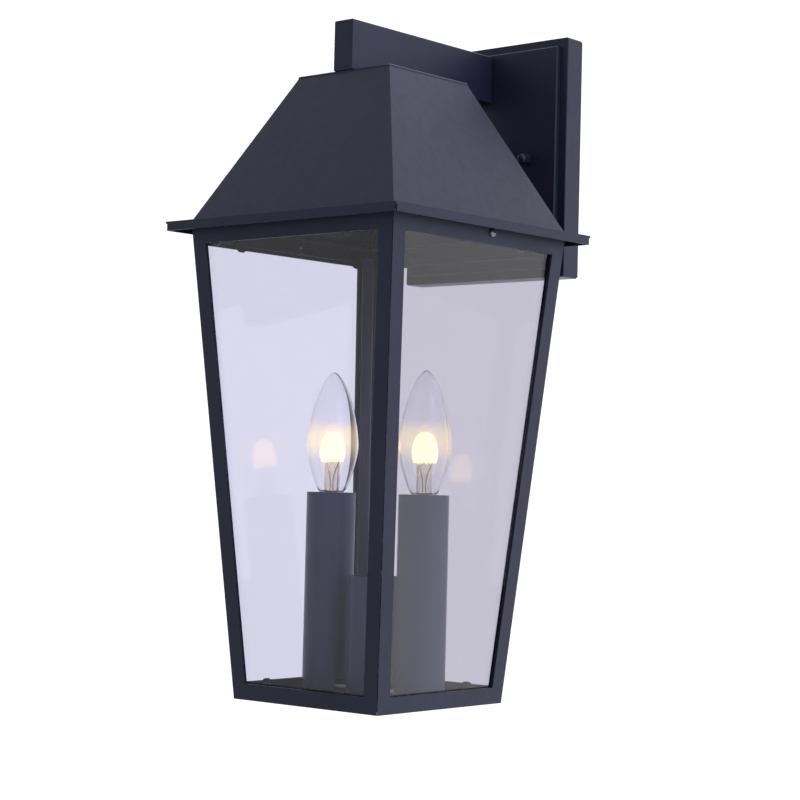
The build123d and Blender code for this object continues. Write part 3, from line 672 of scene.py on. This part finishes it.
def threaded_base(node):
    """A screw base. Its thread is rolled: the radius follows a cosine of the height over the pitch
    less the share of a turn, and fades out at both ends. Under it is a cone with a round button."""
    pitch, depth, wide_gap = 2.5 * MM, 0.45 * MM, 0.02 * MM
    cone_foot, cone_tall, cone_small, cone_grow = 0.8 * MM, 1.8 * MM, 2.5 * MM, 2.7 * MM
    button = np.array(((1.4, 0.0), (2.3, 0.15), (2.5, 0.6))) * MM
    low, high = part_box(node)
    centre = plan_centre(node)
    angle = np.linspace(0, TURN, 64, endpoint=False)[None, :]
    share = np.linspace(0, 1, 90)[:, None]
    thread_foot = low.z + cone_foot + cone_tall
    height = thread_foot + share * (high.z - thread_foot)
    wave = np.cos(TURN * (height - high.z) / pitch - angle)
    hold = np.clip(share / 0.06, 0, 1) * np.clip((1 - share) / 0.12, 0, 1)
    radius = (high.x - low.x) / 2 - depth * hold * (0.5 - 0.5 * wave) - wide_gap
    cone = np.linspace(0, 1, 8)[:, None]
    level = np.zeros_like(angle)
    all_r = np.vstack((button[:, :1] + level, cone_small + cone_grow * cone + level, radius))
    all_z = np.vstack((low.z + button[:, 1:] + level,
                       low.z + cone_foot + cone_tall * cone + level, height + level))
    rings = np.stack((centre[0] + all_r * np.cos(angle), centre[1] + all_r * np.sin(angle),
                      all_z), axis=-1)
    return capped(rings, *(np.array((*centre, z)) for z in (low.z, high.z)))


class LANTERN_OT_bulb_bases(bpy.types.Operator):
    """Roll the thread into each bulb's base."""
    bl_idname = "lantern.bulb_bases"
    bl_label = "Bulb bases"

    def execute(self, context):
        for hand in HANDS:
            node = "bulb_base_" + hand
            make_piece("threaded_base_" + hand, threaded_base(node), "bulb_brass", "bulb_" + hand,
                       context.scene.lantern_look, 50, (node,))
        return {"FINISHED"}


def domed_nut(node):
    """A domed nut on its side, as rings along Y. The skirt's radius is a hexagon's, cut by a cone
    near each face, and the dome is a quarter circle on a short straight neck."""
    skirt, dome_inset = 4.0 * MM, 0.35 * MM
    low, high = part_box(node)
    x, z = (low.x + high.x) / 2, (low.z + high.z) / 2
    flat = min(high.x - low.x, high.z - low.z) / 2
    angle = np.linspace(0, TURN, 96, endpoint=False)[None, :]
    hexagon = flat / np.cos((angle + TURN / 12) % (TURN / 6) - TURN / 12)
    level = 0 * angle
    rows = [(share * skirt + level, np.minimum(hexagon, flat * cut))
            for share, cut in ((0.0, 1.06), (0.06, 1.2), (0.86, 1.2), (0.94, 1.09), (1.0, 1.0))]
    dome = flat - dome_inset
    straight = high.y - low.y - dome
    rows += [(place + level, dome + level) for place in (skirt, straight)]
    rows += [(straight + dome * np.sin(tilt) + level, dome * np.cos(tilt) + level)
             for tilt in np.linspace(0.12, 1.45, 12)]
    out = np.stack([row[0] for row in rows])[:, 0]
    radius = np.stack([row[1] for row in rows])[:, 0]
    rings = np.stack((x + radius * np.cos(angle), high.y - out, z + radius * np.sin(angle)),
                     axis=-1)
    return capped(rings, np.array((x, high.y, z)), np.array((x, low.y, z)))


class LANTERN_OT_cap_nuts(bpy.types.Operator):
    """Turn the two domed cap nuts on the wall plate."""
    bl_idname = "lantern.cap_nuts"
    bl_label = "Cap nuts"

    def execute(self, context):
        for hand in HANDS:
            node = "cap_nut_" + hand
            make_piece("domed_cap_nut_" + hand, domed_nut(node), SLOT_OF[node], BODY_OF[node],
                       context.scene.lantern_look, 30, (node,))
        return {"FINISHED"}


def cross_head(centre, radius, thick, sign):
    """A pan head with a cross recess, facing along X. Its face is a shallow dome, and inside the
    cross it drops by a share of the head's thickness, easing out at the arms' sides and ends."""
    arm_half, arm_edge, arm_reach, arm_fade, depth = 0.13, 0.05, 0.62, 0.1, 0.55
    share = np.linspace(0, 1, 26)[1:, None]
    angle = np.linspace(0, TURN, 72, endpoint=False)[None, :]
    side, up = share * np.cos(angle), share * np.sin(angle)
    dome = thick * np.sqrt(1 - 0.96 * share ** 2) + 0 * angle
    arm = np.minimum(np.abs(side), np.abs(up))
    cross = (np.clip((arm_half - arm) / arm_edge, 0, 1)
             * np.clip((arm_reach - share) / arm_fade, 0, 1))
    out = dome - depth * thick * cross
    face = np.stack((centre[0] + sign * out, centre[1] + sign * radius * side,
                     centre[2] + radius * up), axis=-1)
    back = np.stack((centre[0] + 0 * side[-1:], centre[1] + sign * radius * side[-1:],
                     centre[2] + radius * up[-1:]), axis=-1)
    rings = np.concatenate((back, face[::-1]))
    pole = np.array((centre[0] + sign * (1 - depth) * thick, centre[1], centre[2]))
    return capped(rings, centre, pole)


def machine_thread(inner, outer, middle, sign):
    """A threaded shank along X, as fine as shows: its radius follows a cosine of the place along
    it over the pitch, plus the angle round it."""
    pitch, core, wave = 0.5 * MM, 1.35 * MM, 0.13 * MM
    run = np.linspace(0, 1, 260)[:, None]
    angle = np.linspace(0, TURN, 20, endpoint=False)[None, :]
    along = inner + run * (outer - inner)
    size = core + wave * np.cos(TURN * along / pitch + angle)
    rings = np.stack((sign * along + 0 * angle, middle[0] + sign * size * np.cos(angle),
                      middle[1] + size * np.sin(angle)), axis=-1)
    return capped(rings, *(np.array((sign * place, *middle)) for place in (inner, outer)))


class LANTERN_OT_cage_screws(bpy.types.Operator):
    """Cut the cross recess in the two side screws and give them their thread."""
    bl_idname = "lantern.cage_screws"
    bl_label = "Side screws"

    def execute(self, context):
        head_thick = 2.0 * MM
        points = node_points("cage_screws")
        middle = (points.min(axis=0)[1:] + points.max(axis=0)[1:]) / 2
        radius = (points[:, 2].max() - points[:, 2].min()) / 2
        seat = points[:, 0].max() - head_thick
        inner = points[points[:, 0] > 0][:, 0].min()
        shapes = []
        for sign in (-1, 1):
            shapes.append(cross_head(np.array((sign * seat, *middle)), radius, head_thick, sign))
            shapes.append(machine_thread(inner, seat, middle, sign))
        make_piece("cross_head_screws", joined(shapes), "screw_steel", "cage",
                   context.scene.lantern_look, 40, ("cage_screws",))
        return {"FINISHED"}


def seam_beads():
    """Small beads up the cage's four corner seams, close together below and few above. Each lies
    on the straight line from the frame's foot corner to its head corner."""
    inset, crowded = 0.26 * MM, 0.56
    rng = np.random.default_rng(7)
    points = node_points("frame_front")
    low_z, high_z = points[:, 2].min(), points[:, 2].max()
    foot = points[points[:, 2] < low_z + 0.1 * MM][:, 0].max()
    head = points[:, 0].max()
    middle = (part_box("frame_front")[0].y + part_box("frame_rear")[1].y) / 2
    share = np.sort(rng.uniform(0.0, crowded, 46))
    share = np.concatenate((share, rng.uniform(crowded, 0.96, 7)))
    half = foot + share * (head - foot) - inset
    height = low_z + share * (high_z - low_z)
    size = rng.uniform(0.22, 0.42, len(share)) * MM
    centres = [np.stack((sx * half, middle + sy * half, height), axis=-1)
               for sx in (-1, 1) for sy in (-1, 1)]
    return beads(np.vstack(centres), np.tile(size, 4)[:, None])


def brim_beads():
    """Three beads down each open corner of the brim's lip, each given by how far it is under the
    top, how far it is shifted inwards, and its radius, in millimetres."""
    inset = 1.55 * MM
    low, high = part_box("brim")
    mid_y, half_y = (low.y + high.y) / 2, (high.y - low.y) / 2
    spots, sizes = [], []
    for sx in (-1, 1):
        for sy in (-1, 1):
            for drop, shift, size in ((1.7, 0.1, 0.45), (2.9, 0.35, 0.3), (5.2, 0.2, 0.5)):
                spots.append((sx * (high.x - inset - shift * MM), mid_y + sy * (half_y - inset),
                              high.z - drop * MM))
                sizes.append(size * MM)
    return beads(np.array(spots), np.array(sizes)[:, None])


class LANTERN_OT_weld_beads(bpy.types.Operator):
    """Dot the cage's four seams and the brim's four corners with weld beads."""
    bl_idname = "lantern.weld_beads"
    bl_label = "Weld beads"

    def execute(self, context):
        look = context.scene.lantern_look
        make_piece("seam_weld_beads", seam_beads(), "screw_steel", "cage", look, 60)
        make_piece("brim_weld_beads", brim_beads(), "screw_steel", "wall_side", look, 60)
        return {"FINISHED"}


# ---------------------------------------------------------------- studio

class LANTERN_OT_studio(bpy.types.Operator):
    """Lay the glowing floor and set the soft lights and the camera."""
    bl_idname = "lantern.studio"
    bl_label = "Studio"

    def execute(self, context):
        studio = context.scene.lantern_studio
        low, high = CAD_BOX
        centre = (low + high) / 2
        lay_floor(low.z - studio.floor_drop, studio)
        light_world(studio)
        soft_lamp("side_lamp", (2.3, -0.55, 0.75), centre, (1.7, 1.9), studio.key_power, "#d4d8ff")
        soft_lamp("top_lamp", (0.5, 0.5, 2.3), centre, (1.6, 1.6), 18.0, "#d8dcff")
        place_camera()
        context.scene.view_settings.view_transform = "Standard"
        return {"FINISHED"}


def sky_level(tree, toward_wall, studio):
    """How bright the surroundings are in a direction: dim out in front of the lantern and white
    behind it, changing smoothly with the direction's part towards the wall."""
    level = add(tree, "ShaderNodeMapRange", {"interpolation_type": "SMOOTHSTEP"},
                {"Value": toward_wall, "From Min": -0.45, "From Max": 0.55,
                 "To Min": studio.front_light, "To Max": studio.backdrop})
    return level.outputs["Result"]


def lay_floor(height, studio):
    """A wide round floor: rings of growing radius. It has the brightness of the sky above it in
    each direction from the wall plate, so that no horizon shows."""
    rows, columns = 24, 64
    plan = np.geomspace(0.05, 14, rows)[:, None, None] * unit_ring(columns)
    rings = np.concatenate((plan, np.full((rows, columns, 1), height)), axis=-1)
    points, faces = capped(rings, np.array((0, 0, height)))
    mesh = bpy.data.meshes.new("pale_floor")
    mesh.from_pydata(points.tolist(), [], [face[::-1] for face in faces])
    floor = bpy.data.objects.new("pale_floor", mesh)
    bpy.context.scene.collection.objects.link(floor)
    material, tree, out = new_material("evenly_lit_floor")
    place = add(tree, "ShaderNodeTexCoord").outputs["Object"]
    level = add(tree, "ShaderNodeVectorMath", {"operation": "MULTIPLY"},
                {0: place, 1: (1, 1, 0)})
    toward = add(tree, "ShaderNodeVectorMath", {"operation": "NORMALIZE"}, {0: level.outputs[0]})
    parts = add(tree, "ShaderNodeSeparateXYZ", {}, {"Vector": toward.outputs[0]})
    skin = add(tree, "ShaderNodeEmission", {},
               {"Strength": sky_level(tree, parts.outputs["Y"], studio)})
    tree.links.new(skin.outputs["Emission"], out.inputs["Surface"])
    mesh.materials.append(material)


def light_world(studio):
    """A sky that is white behind the lantern and dim in front of it, changing smoothly between."""
    world = bpy.data.worlds.new("soft_studio")
    world.use_nodes = True
    bpy.context.scene.world = world
    tree = world.node_tree
    tree.nodes.clear()
    place = add(tree, "ShaderNodeTexCoord").outputs["Generated"]
    parts = add(tree, "ShaderNodeSeparateXYZ", {}, {"Vector": place})
    back = add(tree, "ShaderNodeBackground", {},
               {"Color": (1, 1, 1, 1), "Strength": sky_level(tree, parts.outputs["Y"], studio)})
    out = add(tree, "ShaderNodeOutputWorld")
    tree.links.new(back.outputs["Background"], out.inputs["Surface"])


def aim(thing, target):
    """Turns a lamp or camera to face a point."""
    thing.rotation_mode = "QUATERNION"
    thing.rotation_quaternion = (target - thing.location).to_track_quat("-Z", "Y")


def soft_lamp(name, place, target, size, power, colour):
    """One large rectangular lamp aimed at the lantern."""
    lamp = bpy.data.lights.new(name, "AREA")
    lamp.shape, lamp.size, lamp.size_y = "RECTANGLE", *size
    lamp.energy, lamp.color = power, linear(colour)[:3]
    holder = bpy.data.objects.new(name, lamp)
    holder.location = place
    bpy.context.scene.collection.objects.link(holder)
    aim(holder, target)


def place_camera():
    """The camera stands to the lantern's right front, a little below its middle, and leans."""
    lens = bpy.data.cameras.new("studio_camera")
    lens.lens, lens.sensor_width = 93.2, 36
    lens.clip_start, lens.clip_end = 0.02, 60
    camera = bpy.data.objects.new("studio_camera", lens)
    bpy.context.scene.collection.objects.link(camera)
    camera.location = (0.904, -1.158, -0.226)
    aim(camera, Vector((0.0048, -0.1092, -0.1704)))
    lean = Quaternion((0, 0, 1), math.radians(1.4))
    camera.rotation_quaternion = camera.rotation_quaternion @ lean
    bpy.context.scene.camera = camera


class LANTERN_PT_panel(bpy.types.Panel):
    """The lantern's pieces and settings."""
    bl_label = "Wall lantern"
    bl_idname = "LANTERN_PT_panel"
    bl_space_type = "VIEW_3D"
    bl_region_type = "UI"
    bl_category = "Lantern"

    def draw(self, context):
        for settings in (context.scene.lantern_look, context.scene.lantern_studio):
            for name in settings.bl_rna.properties.keys():
                if name not in ("rna_type", "name"):
                    self.layout.prop(settings, name)
        for operator in OPERATORS:
            self.layout.operator(operator.bl_idname)


OPERATORS = (LANTERN_OT_plain_nodes, LANTERN_OT_arm, LANTERN_OT_hood, LANTERN_OT_cage,
             LANTERN_OT_bulb_glass, LANTERN_OT_bulb_stems, LANTERN_OT_filaments,
             LANTERN_OT_bulb_bases, LANTERN_OT_cap_nuts, LANTERN_OT_cage_screws,
             LANTERN_OT_weld_beads, LANTERN_OT_studio)
CLASSES = (LanternLook, StudioLook, *OPERATORS, LANTERN_PT_panel)


def register():
    for made in CLASSES:
        bpy.utils.register_class(made)
    bpy.types.Scene.lantern_look = bpy.props.PointerProperty(type=LanternLook)
    bpy.types.Scene.lantern_studio = bpy.props.PointerProperty(type=StudioLook)


def unregister():
    del bpy.types.Scene.lantern_look, bpy.types.Scene.lantern_studio
    for made in reversed(CLASSES):
        bpy.utils.unregister_class(made)


def main():
    """Builds the lantern's pieces in order."""
    register()
    for operator in OPERATORS:
        group, name = operator.bl_idname.split(".")
        getattr(getattr(bpy.ops, group), name)()


if __name__ == "__main__":
    main()
